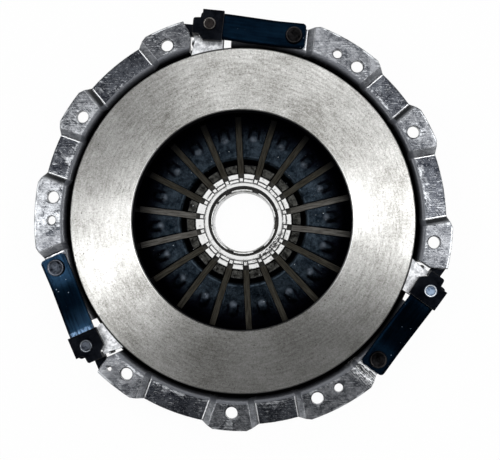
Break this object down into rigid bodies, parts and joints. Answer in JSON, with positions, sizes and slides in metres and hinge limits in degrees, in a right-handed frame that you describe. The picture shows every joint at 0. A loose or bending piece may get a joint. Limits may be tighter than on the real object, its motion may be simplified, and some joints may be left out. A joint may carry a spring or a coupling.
{
  "type": "clutch pressure plate",
  "caption": "Pull-type diaphragm spring clutch cover assembly with a ground friction ring, leaf straps, lift stops and a central release ring.",
  "frame": {"origin": "on the clutch axis, in the plane of the bolt pads that seats on the flywheel", "axes": "+Z along the clutch axis towards the flywheel, +X and +Y to the right and up in the picture"},
  "size_m": [0.4308, 0.4323, 0.0776],
  "materials": {
    "cover_steel": "bare pressed steel, dark and worn",
    "grey_iron": "ground",
    "spring_steel": "blued",
    "strap_steel": "blued",
    "bracket_steel": "black oxide",
    "rivet_steel": "dark steel",
    "bright_steel": "turned",
    "zinc_steel": "zinc plated"
  },
  "bodies": {
    "cover": {"cover": "cover_steel", "diaphragm_spring": "spring_steel", "pivot_ring": "spring_steel", "strap_1_leaf_1": "strap_steel", "strap_1_leaf_2": "strap_steel", "strap_1_leaf_3": "strap_steel", "strap_2_leaf_1": "strap_steel", "strap_2_leaf_2": "strap_steel", "strap_2_leaf_3": "strap_steel", "strap_3_leaf_1": "strap_steel", "strap_3_leaf_2": "strap_steel", "strap_3_leaf_3": "strap_steel", "strap_cover_rivets": "rivet_steel"},
    "pressure_plate": {"pressure_plate": "grey_iron", "lift_stop_bracket_1": "bracket_steel", "lift_stop_bracket_2": "bracket_steel", "lift_stop_bracket_3": "bracket_steel", "strap_lug_rivets": "rivet_steel"},
    "release_ring": {"thrust_sleeve": "bright_steel", "tab_retainer": "zinc_steel", "inner_tab_ring": "zinc_steel", "wave_washer": "zinc_steel", "snap_ring": "bright_steel", "rear_thrust_washer": "zinc_steel", "rear_lock_ring": "zinc_steel"}
  },
  "joints": [
    {"name": "plate_slide", "type": "slide", "parent": "cover", "child": "pressure_plate", "axis": [0, 0, 1], "range_m": [-0.008, 0], "stiffness_N_per_m": 40000, "springref_m": 0.01, "deforming": ["strap_1_leaf_1", "strap_1_leaf_2", "strap_1_leaf_3", "strap_2_leaf_1", "strap_2_leaf_2", "strap_2_leaf_3", "strap_3_leaf_1", "strap_3_leaf_2", "strap_3_leaf_3"]},
    {"name": "release_slide", "type": "slide", "parent": "cover", "child": "release_ring", "axis": [0, 0, 1], "range_m": [-0.034, 0], "deforming": ["diaphragm_spring"]}
  ],
  "couplings": [
    {"joint": "release_slide", "follows": "plate_slide", "ratio": 4.2}
  ]
}
